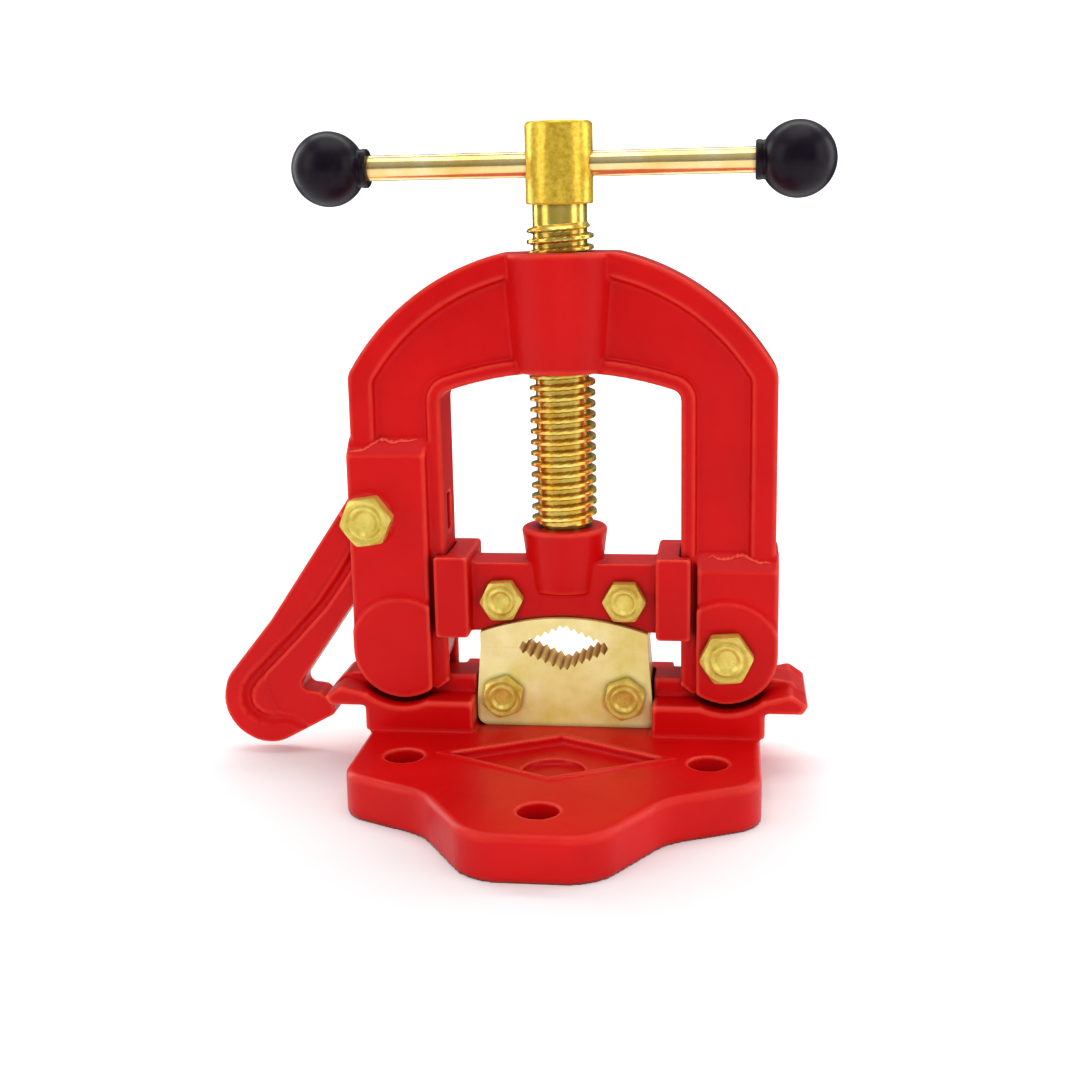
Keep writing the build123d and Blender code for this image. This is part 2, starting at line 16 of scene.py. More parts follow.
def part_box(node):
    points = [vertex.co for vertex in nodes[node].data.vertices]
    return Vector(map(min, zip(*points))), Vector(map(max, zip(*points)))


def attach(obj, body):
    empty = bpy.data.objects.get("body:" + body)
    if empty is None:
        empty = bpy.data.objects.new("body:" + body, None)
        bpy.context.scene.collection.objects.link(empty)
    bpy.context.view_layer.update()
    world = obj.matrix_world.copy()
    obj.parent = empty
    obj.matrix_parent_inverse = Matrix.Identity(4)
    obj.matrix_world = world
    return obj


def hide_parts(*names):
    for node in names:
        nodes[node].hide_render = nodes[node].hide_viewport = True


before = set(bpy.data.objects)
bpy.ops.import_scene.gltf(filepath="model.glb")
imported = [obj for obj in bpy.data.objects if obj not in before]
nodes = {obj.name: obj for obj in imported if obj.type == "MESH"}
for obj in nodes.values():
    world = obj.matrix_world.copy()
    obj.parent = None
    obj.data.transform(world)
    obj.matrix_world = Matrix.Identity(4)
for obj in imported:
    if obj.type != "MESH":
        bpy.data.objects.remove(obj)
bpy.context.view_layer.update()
mm = 0.001

# %% [markdown]
# ## Colours and shader nodes
#
# Colours are easiest to judge as the hex values of a picture editor. Those are
# sRGB, and a shader wants linear light, so one function turns them. A second
# function adds any node with its settings and links. Three short ones build on
# it for what every material needs: a ramp between two colours, a mix of two
# colours, and a value carried over to another range. They keep each material
# below about as long as its description in words.

# %% Small helpers for materials
TOE, TOE_SLOPE, OFFSET, GAMMA = 0.04045, 12.92, 0.055, 2.4
FIRST_COLOUR, SECOND_COLOUR, MIXED_COLOUR = 6, 7, 2


def linear(hex_colour):
    """sRGB to linear: a straight line for dark values, ((c + 0.055) / 1.055) ** 2.4 above."""
    digits = hex_colour.lstrip("#")
    srgb = np.array([int(digits[i:i + 2], 16) for i in (0, 2, 4)]) / 255
    light = np.where(srgb <= TOE, srgb / TOE_SLOPE, ((srgb + OFFSET) / (1 + OFFSET)) ** GAMMA)
    return (*light.tolist(), 1.0)


def add_node(material, kind, settings=None, links=None):
    """Add a shader node; settings name its properties or sockets, links give a socket's source."""
    tree = material.node_tree
    node = tree.nodes.new("ShaderNode" + kind)
    for name, value in (settings or {}).items():
        if hasattr(node, name):
            setattr(node, name, value)
        else:
            node.inputs[name].default_value = value
    for name, source in (links or {}).items():
        tree.links.new(source, node.inputs[name])
    return node


def colour_ramp(material, source, low_at, low, high_at, high):
    """One colour up to low_at, another from high_at on, and their blend between."""
    ramp = add_node(material, "ValToRGB", links={"Fac": source})
    for stop, position, colour in zip(ramp.color_ramp.elements, (low_at, high_at), (low, high)):
        stop.position, stop.color = position, linear(colour)
    return ramp.outputs["Color"]


def mix_colours(material, share, first, second):
    """A fixed first colour where the share is 0 and a second, from a socket, where it is 1."""
    mix = add_node(material, "Mix", {"data_type": "RGBA"}, {"Factor": share})
    mix.inputs[FIRST_COLOUR].default_value = linear(first)
    material.node_tree.links.new(second, mix.inputs[SECOND_COLOUR])
    return mix.outputs[MIXED_COLOUR]


def carry_over(material, source, to_low, to_high, low=0.0, high=1.0):
    """A value's range from low to high, carried over to the range from to_low to to_high."""
    limits = {"From Min": low, "From Max": high, "To Min": to_low, "To Max": to_high}
    return add_node(material, "MapRange", limits, {"Value": source}).outputs["Result"]


def new_material(name, settings):
    """An empty material with a Principled shader; gives the material, its shader and its place."""
    material = bpy.data.materials.new(name)
    material.use_nodes = True
    material.node_tree.nodes.clear()
    shader = add_node(material, "BsdfPrincipled", settings)
    add_node(material, "OutputMaterial", links={"Surface": shader.outputs["BSDF"]})
    place = add_node(material, "TexCoord").outputs["Object"]
    return material, shader, place


def per_metre(size_mm):
    """A noise texture's scale for a pattern whose grains are this many millimetres apart."""
    return 1 / (size_mm * mm)


# %% [markdown]
# ## Enamel on cast iron
#
# The red pieces are grey iron, cast in sand and sprayed with gloss enamel. The
# sand leaves a fine pebbled skin and slow waves that the paint softens but
# doesn't hide, so highlights break up a little. Edges get a painted highlight, a
# touch lighter, and corners and joints between parts get painted shade, darker.
# The clear gloss of the paint film is the shader's coat, over a base
# that is rougher.

# %% The red enamel
SAND_GRAIN, SKIN_WAVE, PAINT_CLOUD = 1.4, 9.0, 35.0
SAND_HEIGHT, WAVE_HEIGHT = 0.10, 0.28
EDGE_FLAT, EDGE_SHARP, EDGE_HIGHLIGHT_SHARE = 0.507, 0.565, 0.75
CORNER_REACH, CORNER_DEEP, CORNER_OPEN, CORNER_LEAST = 4.0, 0.20, 0.80, 0.12

enamel, shader, place = new_material("sprayed_red_enamel_on_cast_iron", {
    "IOR": 1.5, "Metallic": 0.0, "Specular IOR Level": 0.15, "Coat Weight": 0.05, "Coat Roughness": 0.10,
    "Coat IOR": 1.5,
})
link = enamel.node_tree.links.new
cloud = add_node(enamel, "TexNoise", {"Scale": per_metre(PAINT_CLOUD), "Detail": 3.0}, {"Vector": place})
grain = add_node(enamel, "TexNoise", {"Scale": per_metre(SAND_GRAIN), "Detail": 4.0}, {"Vector": place})
wave = add_node(enamel, "TexNoise", {"Scale": per_metre(SKIN_WAVE), "Detail": 2.0}, {"Vector": place})
film = colour_ramp(enamel, cloud.outputs["Fac"], 0.32, "#C00406", 0.70, "#D00709")
# Painted highlight: the sharpest edges, found by their pointiness, take a light orange red.
edge = add_node(enamel, "NewGeometry").outputs["Pointiness"]
unhighlighted = carry_over(enamel, edge, 1.0, 1.0 - EDGE_HIGHLIGHT_SHARE, EDGE_FLAT, EDGE_SHARP)
tint = mix_colours(enamel, unhighlighted, "#FF5E48", film)
# Painted shade: where ambient occlusion finds near surfaces, in corners and between parts, the colour
# goes to a near-black red.
corner = add_node(enamel, "AmbientOcclusion", {"samples": 8, "Distance": CORNER_REACH * mm})
unshaded = carry_over(enamel, corner.outputs["AO"], CORNER_LEAST, 1.0, CORNER_DEEP, CORNER_OPEN)
link(mix_colours(enamel, unshaded, "#2A0103", tint), shader.inputs["Base Color"])
link(carry_over(enamel, cloud.outputs["Fac"], 0.30, 0.46), shader.inputs["Roughness"])
slow = add_node(enamel, "Bump", {"Strength": 0.6, "Distance": WAVE_HEIGHT * mm},
                {"Height": wave.outputs["Fac"]})
fine = add_node(enamel, "Bump", {"Strength": 0.7, "Distance": SAND_HEIGHT * mm},
                {"Height": grain.outputs["Fac"], "Normal": slow.outputs["Normal"]})
link(fine.outputs["Normal"], shader.inputs["Normal"])
print("enamel nodes:", len(enamel.node_tree.nodes))

# %% [markdown]
# ## Plated steel
#
# The jaws, bolts, screw and bar are steel with a thin yellow plating. All are
# metals with one recipe: a warm tint that shifts a little from place to place,
# and the marks of the tool that made the face. What differs is the tint, the
# roughness and which way the marks run, so one function makes them all. The
# marks are a noise stretched along one direction by a Mapping node. Painted
# shade turns grooves and corners brown.

# %% One recipe for the plated metals
SHADE_REACH, SHADE_DEEP, SHADE_OPEN, SHADE_LEAST = 2.5, 0.35, 0.90, 0.15
ROUGH_SPREAD = 0.07


def plated_steel(name, dark, light, metallic, rough, marks, mark_mm, mark_height, patch_mm,
                 painted_teeth_reflection=None):
    """Yellow plating: two tints mixed by soft patches, tool marks stretched by `marks` (X, Y, Z).
    With a last colour given, faces that don't look along Y, the teeth, take it: a painted reflection."""
    metal, shader, place = new_material(name, {"Metallic": metallic})
    link = metal.node_tree.links.new
    patch = add_node(metal, "TexNoise", {"Scale": per_metre(patch_mm), "Detail": 5.0, "Roughness": 0.6},
                     {"Vector": place})
    colour = colour_ramp(metal, patch.outputs["Fac"], 0.30, dark, 0.68, light)
    # Painted reflection: faces that don't look along Y, the teeth, take a warmer, browner tint in place
    # of the dark reflection in them.
    if painted_teeth_reflection:
        normal = add_node(metal, "TexCoord").outputs["Normal"]
        along_y = add_node(metal, "SeparateXYZ", links={"Vector": normal}).outputs["Y"]
        facing = add_node(metal, "Math", {"operation": "ABSOLUTE"}, {"Value": along_y})
        colour = mix_colours(metal, facing.outputs["Value"], painted_teeth_reflection, colour)
    # Painted shade: where ambient occlusion finds near surfaces, in grooves and corners, the colour goes
    # brown.
    groove = add_node(metal, "AmbientOcclusion", {"samples": 8, "Distance": SHADE_REACH * mm})
    unshaded = carry_over(metal, groove.outputs["AO"], SHADE_LEAST, 1.0, SHADE_DEEP, SHADE_OPEN)
    link(mix_colours(metal, unshaded, "#7C4A08", colour), shader.inputs["Base Color"])
    stretch = add_node(metal, "Mapping", {"vector_type": "POINT", "Scale": marks}, {"Vector": place})
    lines = add_node(metal, "TexNoise", {"Scale": per_metre(mark_mm), "Detail": 3.0},
                     {"Vector": stretch.outputs["Vector"]})
    roughness = carry_over(metal, lines.outputs["Fac"], rough - ROUGH_SPREAD, rough + ROUGH_SPREAD)
    link(roughness, shader.inputs["Roughness"])
    bump = add_node(metal, "Bump", {"Strength": 0.5, "Distance": mark_height * mm},
                    {"Height": lines.outputs["Fac"]})
    link(bump.outputs["Normal"], shader.inputs["Normal"])
    return metal


jaw_metal = plated_steel(
    "ground_jaw_steel_pale_gold_plating", "#E4D566", "#FFF8B6", metallic=0.06, rough=0.40,
    marks=(1.0, 1.0, 0.08), mark_mm=0.5, mark_height=0.02, patch_mm=16.0, painted_teeth_reflection="#FFDC84")
bolt_metal = plated_steel(
    "forged_bolt_steel_yellow_plating", "#CAAE3A", "#F0DE70", metallic=0.36, rough=0.30,
    marks=(1.0, 1.0, 1.0), mark_mm=0.9, mark_height=0.02, patch_mm=5.0)
screw_metal = plated_steel(
    "turned_screw_steel_yellow_plating", "#F2C03C", "#FFEC80", metallic=0.88, rough=0.24,
    marks=(0.15, 0.15, 1.0), mark_mm=0.35, mark_height=0.005, patch_mm=9.0)
head_metal = plated_steel(
    "forged_head_steel_yellow_plating", "#D0A426", "#FFDA4C", metallic=0.60, rough=0.34,
    marks=(1.0, 1.0, 0.35), mark_mm=0.7, mark_height=0.02, patch_mm=1.6)
bar_metal = plated_steel(
    "polished_bar_steel_yellow_plating", "#EFC768", "#FFEBAE", metallic=0.80, rough=0.14,
    marks=(0.06, 1.0, 1.0), mark_mm=0.6, mark_height=0.006, patch_mm=14.0)
pin_metal = plated_steel(
    "ground_pin_steel", "#8E8E8C", "#A8A8A4", metallic=1.0, rough=0.30,
    marks=(1.0, 0.1, 1.0), mark_mm=0.4, mark_height=0.01, patch_mm=6.0)
metals = (jaw_metal, bolt_metal, screw_metal, head_metal, bar_metal, pin_metal)
print("metals:", [metal.name for metal in metals])

# %% [markdown]
# ## Knob plastic
#
# The two knobs are moulded in a near-black thermoset. It is a smooth, slightly
# waxy gloss with faint flow marks from the mould, and a fine orange peel.

# %% The black knob plastic
FLOW_MARK, PEEL, PEEL_HEIGHT = 7.0, 0.8, 0.02

knob_plastic, shader, place = new_material("moulded_black_phenolic", {
    "IOR": 1.55, "Metallic": 0.0, "Specular IOR Level": 0.14, "Coat Weight": 0.03, "Coat Roughness": 0.2,
})
link = knob_plastic.node_tree.links.new
marks = {"Scale": per_metre(FLOW_MARK), "Detail": 4.0, "Distortion": 1.2}
flow = add_node(knob_plastic, "TexNoise", marks, {"Vector": place}).outputs["Fac"]
link(colour_ramp(knob_plastic, flow, 0.35, "#0A030D", 0.70, "#170A1B"), shader.inputs["Base Color"])
link(carry_over(knob_plastic, flow, 0.30, 0.44), shader.inputs["Roughness"])
peel = add_node(knob_plastic, "TexNoise", {"Scale": per_metre(PEEL), "Detail": 2.0}, {"Vector": place})
skin = add_node(knob_plastic, "Bump", {"Strength": 0.4, "Distance": PEEL_HEIGHT * mm},
                {"Height": peel.outputs["Fac"]})
link(skin.outputs["Normal"], shader.inputs["Normal"])

# %% [markdown]
# ## The castings
#
# A casting has no sharp edge: the pattern was rounded so that it would leave
# the sand, and each inner corner has a fillet. A bevel on every edge would
# need clean edges everywhere. It is simpler to rebuild a copy of the CAD
# surface from small voxels and to smooth it: outer edges round off and
# inner corners fill, as they do in sand. Flat faces stay flat. The foot and
# the body above it are one casting, so their copies are united first.

# %% Soften a copy of a CAD casting
MERGE_DISTANCE = 0.002
CAST_EDGE, GROUND_EDGE, CHAMFERED_EDGE, TURNED_EDGE, WRINKLED_EDGE = 180, 25, 32, 40, 60


def merged_copy(node, name):
    """A copy of a CAD node's mesh, with the loose corners of its triangles joined."""
    mesh = nodes[node].data.copy()
    mesh.name = name
    work = bmesh.new()
    work.from_mesh(mesh)
    bmesh.ops.remove_doubles(work, verts=work.verts, dist=MERGE_DISTANCE * mm)
    work.to_mesh(mesh)
    work.free()
    mesh.materials.clear()
    if "custom_normal" in mesh.attributes:
        mesh.attributes.remove(mesh.attributes["custom_normal"])
    piece = bpy.data.objects.new(name, mesh)
    bpy.context.scene.collection.objects.link(piece)
    return piece


def apply_modifiers(piece):
    """Keep the shape that the modifiers give and drop the modifiers."""
    bpy.context.view_layer.update()
    shaped = piece.evaluated_get(bpy.context.evaluated_depsgraph_get())
    mesh = bpy.data.meshes.new_from_object(shaped)
    piece.modifiers.clear()
    piece.data = mesh
    return mesh


def finish_piece(piece, material, body, slot, sharp_degrees, *replaced):
    """Smooth shading up to an edge angle, one material and the body that it rides on; `slot` is not
    used.
    """
    mesh = piece.data
    mesh.polygons.foreach_set("use_smooth", np.ones(len(mesh.polygons), bool))
    mesh.set_sharp_from_angle(angle=np.radians(sharp_degrees))
    mesh.materials.clear()
    mesh.materials.append(material)
    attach(piece, body)
    if replaced:
        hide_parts(*replaced)
    return piece


def soft_casting(node, body, voxel_mm, passes, keep_share, joined=(), filled=(), reshape=None):
    """Voxel copy, then `passes` rounds in which each point moves half way to its neighbours.
    The copy takes in the `joined` nodes, which it also replaces, and the `filled` ones,
    whose holes would otherwise show."""
    piece = merged_copy(node, node + "_enamelled")
    if reshape:
        reshape(piece.data)
    helpers = [merged_copy(other, other + "_helper") for other in (*joined, *filled)]
    for helper in helpers:
        union = piece.modifiers.new("union", "BOOLEAN")
        union.operation, union.solver, union.object = "UNION", "EXACT", helper
    grid = piece.modifiers.new("sand", "REMESH")
    grid.mode, grid.voxel_size = "VOXEL", voxel_mm * mm
    worn = piece.modifiers.new("round", "SMOOTH")
    worn.factor, worn.iterations = 0.5, passes
    fewer = piece.modifiers.new("fewer", "DECIMATE")
    fewer.ratio = keep_share
    mesh = apply_modifiers(piece)
    for helper in helpers:
        bpy.data.objects.remove(helper)
    finish_piece(piece, enamel, body, "red_enamel", CAST_EDGE, node, *joined)
    print(node, "faces:", len(mesh.polygons))
    return piece


PINS = ("screw_retaining_pin_left", "screw_retaining_pin_right")

soft_casting("base_casting", "base", voxel_mm=0.75, passes=2, keep_share=0.7, joined=("foot_plate",))
soft_casting("yoke_casting", "yoke", voxel_mm=0.75, passes=2, keep_share=0.6)
soft_casting("slider_casting", "slider", voxel_mm=0.6, passes=2, keep_share=0.8, filled=PINS)

# %% [markdown]
# ## The hook's groove
#
# In the photograph the hook has a broad rounded band along its outer side. A
# soft groove parts it from the arm's flat middle and follows it round the heel.
# The groove is a dip in the thickness that depends only on the distance from
# the outer side, so it bends with it. The heel itself is one round arc, so the
# CAD's short flat there is pushed out to a circle. The hook hangs 5.5 degrees
# out, so the measured points are turned about the pivot by that angle.

# %% Round the heel and press the groove into both faces of the hook
PIVOT, REST_TURN = np.array([-70.4, 95.8]), np.radians(5.5)
SUNK_FACE, RAISED_FACE, FULL_FACE = 6.0, 6.8, 7.2
SAME_PLACE = 0.05
GROOVE_AT, GROOVE_WIDE, GROOVE_DEEP = 8.8, 1.9, 2.2
LIP_FADE_FROM, LIP_FADE_OVER = 5.4, 9.0
HEAD_FADE_FROM, HEAD_FADE_OVER = 12.0, 6.0
ACROSS = [0, 2]
OUTER_SIDE = np.array([[-7.0, 3.0], [-13.0, -8.8], [-19.4, -21.5], [-25.7, -32.3], [-35.1, -44.7],
                       [-44.6, -56.5], [-51.4, -64.7], [-54.7, -70.9], [-55.5, -77.0], [-54.4, -83.1],
                       [-50.7, -89.2], [-43.5, -93.4], [-35.6, -94.4], [-30.0, -93.4]])
HEEL_MIDDLE, HEEL_RADIUS, HEEL_SECTORS = np.array([-38.5, -77.5]), 17.0, 60
HEEL_FROM, HEEL_TO = np.radians(150), np.radians(300)


def hung_out(places):
    """Places measured from the pivot on the latched hook, as X and Z of the hook at rest."""
    x, z = places[..., 0], places[..., 1]
    return PIVOT + np.stack([x * np.cos(REST_TURN) + z * np.sin(REST_TURN),
                             z * np.cos(REST_TURN) - x * np.sin(REST_TURN)], axis=-1)


def read_points(mesh):
    """All points of a mesh in millimetres."""
    points = np.empty(len(mesh.vertices) * 3)
    mesh.vertices.foreach_get("co", points)
    return points.reshape(-1, 3) / mm


def write_points(mesh, points):
    """Put points in millimetres back into a mesh."""
    mesh.vertices.foreach_set("co", (points * mm).ravel())
    mesh.update()


def lift_sunk_face(mesh):
    """Raise the CAD's sunk face, so that only the groove parts band and middle."""
    points = read_points(mesh)
    sunk = np.abs(np.abs(points[:, 1]) - SUNK_FACE) < SAME_PLACE
    points[sunk, 1] = np.sign(points[sunk, 1]) * RAISED_FACE
    write_points(mesh, points)


def round_heel(mesh):
    """Distance d from the heel's middle times 1 + (HEEL_RADIUS / outline - 1) * (d / outline) ** 2,
    where outline is the farthest point of the mesh in that direction."""
    points = read_points(mesh)
    middle = hung_out(HEEL_MIDDLE)
    across = points[:, ACROSS] - middle
    distance = np.linalg.norm(across, axis=1)
    bearing = np.arctan2(across[:, 1], across[:, 0]) % (2 * np.pi)
    heel = (bearing > HEEL_FROM) & (bearing < HEEL_TO)
    edges = np.linspace(HEEL_FROM, HEEL_TO, HEEL_SECTORS + 1)
    outline = np.zeros(HEEL_SECTORS)
    np.maximum.at(outline, np.digitize(bearing[heel], edges) - 1, distance[heel])
    reach = np.interp(bearing[heel], (edges[1:] + edges[:-1]) / 2, outline)
    push = np.maximum(HEEL_RADIUS / reach, 1) - 1
    stretch = 1 + push * np.clip(distance[heel] / reach, 0, 1) ** 2
    points[np.ix_(heel, ACROSS)] = middle + across[heel] * stretch[:, None]
    write_points(mesh, points)


def fade_in(places, centre, start, over):
    """0 up to a distance `start` from a centre, rising to 1 over the next `over` millimetres."""
    return np.clip((np.linalg.norm(places - centre, axis=1) - start) / over, 0, 1)


def press_groove(mesh):
    """Half thickness at most FULL_FACE - GROOVE_DEEP * exp(-((d - GROOVE_AT) / GROOVE_WIDE) ** 2),
    where d is the distance to the outer side. The groove fades at the lip and at the head."""
    points = read_points(mesh)
    places = points[:, ACROSS]
    side = hung_out(OUTER_SIDE)
    start, run = side[:-1], np.diff(side, axis=0)
    away = places[:, None] - start
    share = np.clip((away * run).sum(-1) / (run * run).sum(-1), 0, 1)
    distance = np.linalg.norm(away - share[..., None] * run, axis=-1).min(1)
    dip = GROOVE_DEEP * np.exp(-((distance - GROOVE_AT) / GROOVE_WIDE) ** 2)
    dip *= fade_in(places, side[-1], LIP_FADE_FROM, LIP_FADE_OVER)
    dip *= fade_in(places, PIVOT, HEAD_FADE_FROM, HEAD_FADE_OVER)
    limit = FULL_FACE - dip
    points[:, 1] = np.clip(points[:, 1], -limit, limit)
    write_points(mesh, points)


hook = soft_casting("latch_hook", "hook", voxel_mm=0.6, passes=5, keep_share=1.0,
                    reshape=lift_sunk_face)
round_heel(hook.data)
press_groove(hook.data)

# %% [markdown]
# ## The jaws
#
# The jaws are ground blocks with cut teeth, so their edges stay crisp. The CAD
# mesh of the lower jaw already has that shape and only gets its metal. The CAD
# leaves 0.4 mm between the shut jaws, which would show as a line that the real,
# meeting jaws don't have. So a copy of the upper jaw comes down to 0.02 mm above
# the lower one.

# %% Give the jaws their plating
SEAM = 0.02

upper = merged_copy("upper_jaw", "upper_jaw_plated")
points = read_points(upper.data)
bottom = points[:, 2].min()
points[points[:, 2] < bottom + SAME_PLACE, 2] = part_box("lower_jaw")[1].z / mm + SEAM
write_points(upper.data, points)
finish_piece(upper, jaw_metal, "slider", "plated_jaw_steel", GROUND_EDGE, "upper_jaw")
lower = nodes["lower_jaw"].data
lower.materials.clear()
lower.materials.append(jaw_metal)

# %% [markdown]
# ## Turned shapes
#
# Bolts, nuts, washers, pins, the screw, the bar and the knobs are all a radius
# that depends on the height along an axis and the angle round it. That is a grid
# of points: rows run along the axis and columns go round. Rows that end in the
# axis close with a fan of triangles, and rows that meet again close into a
# ring. The functions below work on whole arrays.

# %% From a grid of radii to a mesh
FRONT = Matrix(((1, 0, 0), (0, 0, -1), (0, 1, 0)))
BACK = Matrix(((1, 0, 0), (0, 0, 1), (0, -1, 0)))
RIGHT = Matrix(((0, 0, 1), (1, 0, 0), (0, 1, 0)))
LEFT = Matrix(((0, 0, -1), (-1, 0, 0), (0, 1, 0)))
UP = Matrix.Identity(3)


def angles(columns):
    """Evenly spaced angles round the axis, the first on the grid's own X."""
    return np.arange(columns) * 2 * np.pi / columns


def turned_piece(name, radius, height, facing, centre, closed=False):
    """x = r cos a, y = r sin a, z = h for a grid r[row, column]; the ends close on the axis,
    or with closed=True the last row joins the first. Millimetres, turned to face one way."""
    rows, columns = radius.shape
    turn = angles(columns)
    height = np.broadcast_to(height, radius.shape)
    points = np.stack([radius * np.cos(turn), radius * np.sin(turn), height], axis=-1).reshape(-1, 3)
    index = np.arange(rows * columns).reshape(rows, columns)
    beside = np.roll(index, -1, axis=1)
    above = np.roll(index, -1, axis=0)
    across = np.roll(beside, -1, axis=0)
    faces = np.stack([index, beside, across, above], axis=-1)
    faces = (faces if closed else faces[:-1]).reshape(-1, 4).tolist()
    if not closed:
        poles = np.array([[0, 0, height[0, 0]], [0, 0, height[-1, 0]]])
        points = np.concatenate([points, poles])
        low, high = rows * columns, rows * columns + 1
        faces += np.stack([np.full(columns, low), beside[0], index[0]], axis=-1).tolist()
        faces += np.stack([np.full(columns, high), index[-1], beside[-1]], axis=-1).tolist()
    world = points @ np.array(facing).T + np.array(centre)
    mesh = bpy.data.meshes.new(name)
    mesh.from_pydata((world * mm).tolist(), [], faces)
    mesh.validate()
    piece = bpy.data.objects.new(name, mesh)
    bpy.context.scene.collection.objects.link(piece)
    return piece


# %% [markdown]
# ## Hexagon bolts and nuts
#
# A hexagon with slightly rounded corners is a neat case of a p-norm: the
# radius is the distance to three pairs of flats at once, and a high power
# makes the corners nearly sharp. The head's top is cut by a cone of 30
# degrees, and forging leaves a round dimple in its middle. The end of the
# shank has a rolled thread, a helix, which shows behind the nuts.

# %% Hexagon outline and thread
HEX_POWER = 46.0
CHAMFER, CONE_SHARE = np.tan(np.radians(30)), 0.94


def hexagon(columns, turn):
    """1 at the flats and nearly 1.155 at the corners: (sum |cos(a - k 60)|^p) ^ (-1/p)."""
    around = angles(columns)[:, None] - np.radians(turn + 30) - np.radians([0, 60, 120])
    return (np.abs(np.cos(around)) ** HEX_POWER).sum(axis=1) ** (-1 / HEX_POWER)


def thread_depth(height, columns, pitch, crest_share, foot_share):
    """0 in the groove and 1 on the ridge of a right-hand helix: the phase is height / pitch
    less angle / 360, folded to the distance from the nearest ridge."""
    phase = height / pitch - angles(columns) / (2 * np.pi)
    distance = np.abs((phase + 0.5) % 1 - 0.5)
    return np.clip((foot_share - distance) / (foot_share - crest_share), 0, 1)


def hexagon_rows(flats, turn, columns):
    """Radius and height above its seat of a chamfered hexagon's side, from the seat to the flat top."""
    side = flats / 2 * hexagon(columns, turn)
    cone = flats / 2 * CONE_SHARE
    return side, (side - cone) * CHAMFER, cone


# %% Bolts
BOLT_COLUMNS = 72
SHANK_ROWS_PER_PITCH, THREAD_REACH = 8, 14.0
END_ROW, END_CHAMFER, THREAD_DEEP = 0.6, 0.8, 0.6
BOLT_CREST, BOLT_FOOT = 0.08, 0.45
DISH_SHARES = np.array([0.88, 0.76, 0.71, 0.64, 0.57, 0.49, 0.42, 0.14])
DISH_SINKS = np.array([0.04, 0.50, 0.42, 0.0, 0.04, 0.60, 1.10, 1.20])


def bolt(name, x, z, face, end, size, flats, head, pitch, turn, body, node):
    """One closed surface from the shank's end up the thread and over the head's ring to its dimple."""
    columns, shank = BOLT_COLUMNS, size / 2
    length = end - face
    thread = np.arange(0, THREAD_REACH, pitch / SHANK_ROWS_PER_PITCH)[:, None] + END_ROW - length
    groove = THREAD_DEEP * pitch * (1 - thread_depth(thread, columns, pitch, BOLT_CREST, BOLT_FOOT))
    side, fall, cone = hexagon_rows(flats, turn, columns)
    top = np.full(columns, float(head))
    even = np.ones(columns)
    rows = [((shank - END_CHAMFER) * even, -length * even)]
    rows += list(zip(shank - groove, thread * even))
    rows += [(shank * even, thread[-1] + pitch * even), (shank * even, 0 * even), (side, 0 * even),
             (side, top - fall), (cone * even, top)]
    rows += [(share * flats / 2 * even, top - sink) for share, sink in zip(DISH_SHARES, DISH_SINKS)]
    radius, height = (np.array(values) for values in zip(*rows))
    piece = turned_piece(name, radius, height, FRONT, (x, face, z))
    return finish_piece(piece, bolt_metal, body, "plated_bolts", CHAMFERED_EDGE, node)


# %% Nuts and washers
BORE_GAP, COUNTERSINK = 0.05, 0.7
WASHER_GAP, RIM_SHARE = 0.1, 0.3


def spun_ring(name, radius, height, x, z, face, body, node):
    """A ring with a hole: the profile's last row joins its first."""
    piece = turned_piece(name, radius, height, BACK, (x, face, z), closed=True)
    return finish_piece(piece, bolt_metal, body, "plated_bolts", CHAMFERED_EDGE, node)


def nut(name, x, z, face, size, flats, thick, turn, body, node):
    """A hexagon nut: seat, side, chamfer, flat top, countersink, bore and countersink again."""
    columns = BOLT_COLUMNS
    even = np.ones(columns)
    bore = size / 2 + BORE_GAP
    mouth = bore + COUNTERSINK
    side, fall, cone = hexagon_rows(flats, turn, columns)
    radius = np.array([mouth * even, side, side, cone * even, mouth * even, bore * even, bore * even])
    height = np.array([0 * even, 0 * even, thick - fall, thick * even, thick * even,
                       (thick - COUNTERSINK) * even, COUNTERSINK * even])
    return spun_ring(name, radius, height, x, z, face, body, node)


def washer(name, x, z, face, size, across, thick, body, node):
    """A punched washer whose rear rim and bore are chamfered."""
    bore, rim, soft = size / 2 + WASHER_GAP, across / 2, thick * RIM_SHARE
    radius = np.array([bore, rim, rim, rim - soft, bore + soft, bore])
    height = np.array([0, 0, thick - soft, thick, thick, thick - soft])
    even = np.ones(BOLT_COLUMNS)
    return spun_ring(name, radius[:, None] * even, height[:, None] * even, x, z, face, body, node)


# %% [markdown]
# ## Places from the CAD
#
# Each fastener and pin takes its place and its length from the box of the CAD
# node that it replaces, so both agree to the last digit.

# %% Read places
def centre_of(node):
    """Middle of a CAD node's box in millimetres."""
    low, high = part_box(node)
    return (low + high) / 2 / mm


def span_y(node):
    """Front and back of a CAD node in millimetres."""
    low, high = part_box(node)
    return low.y / mm, high.y / mm


# %% The two pins that hold the screw's end, ground with a chamfer at both ends
PIN_CHAMFER, PIN_COLUMNS = 1.2, 32

for node in PINS:
    low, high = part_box(node)
    thick, half = (high.x - low.x) / 2 / mm, (high.y - low.y) / 2 / mm
    radius = np.array([thick - PIN_CHAMFER, thick, thick, thick - PIN_CHAMFER])[:, None]
    height = np.array([-half, PIN_CHAMFER - half, half - PIN_CHAMFER, half])[:, None]
    pin = turned_piece(node.replace("screw_", ""), radius * np.ones((1, PIN_COLUMNS)), height, FRONT,
                       centre_of(node))
    finish_piece(pin, pin_metal, "slider", "bare_steel_pin", CHAMFERED_EDGE, node)

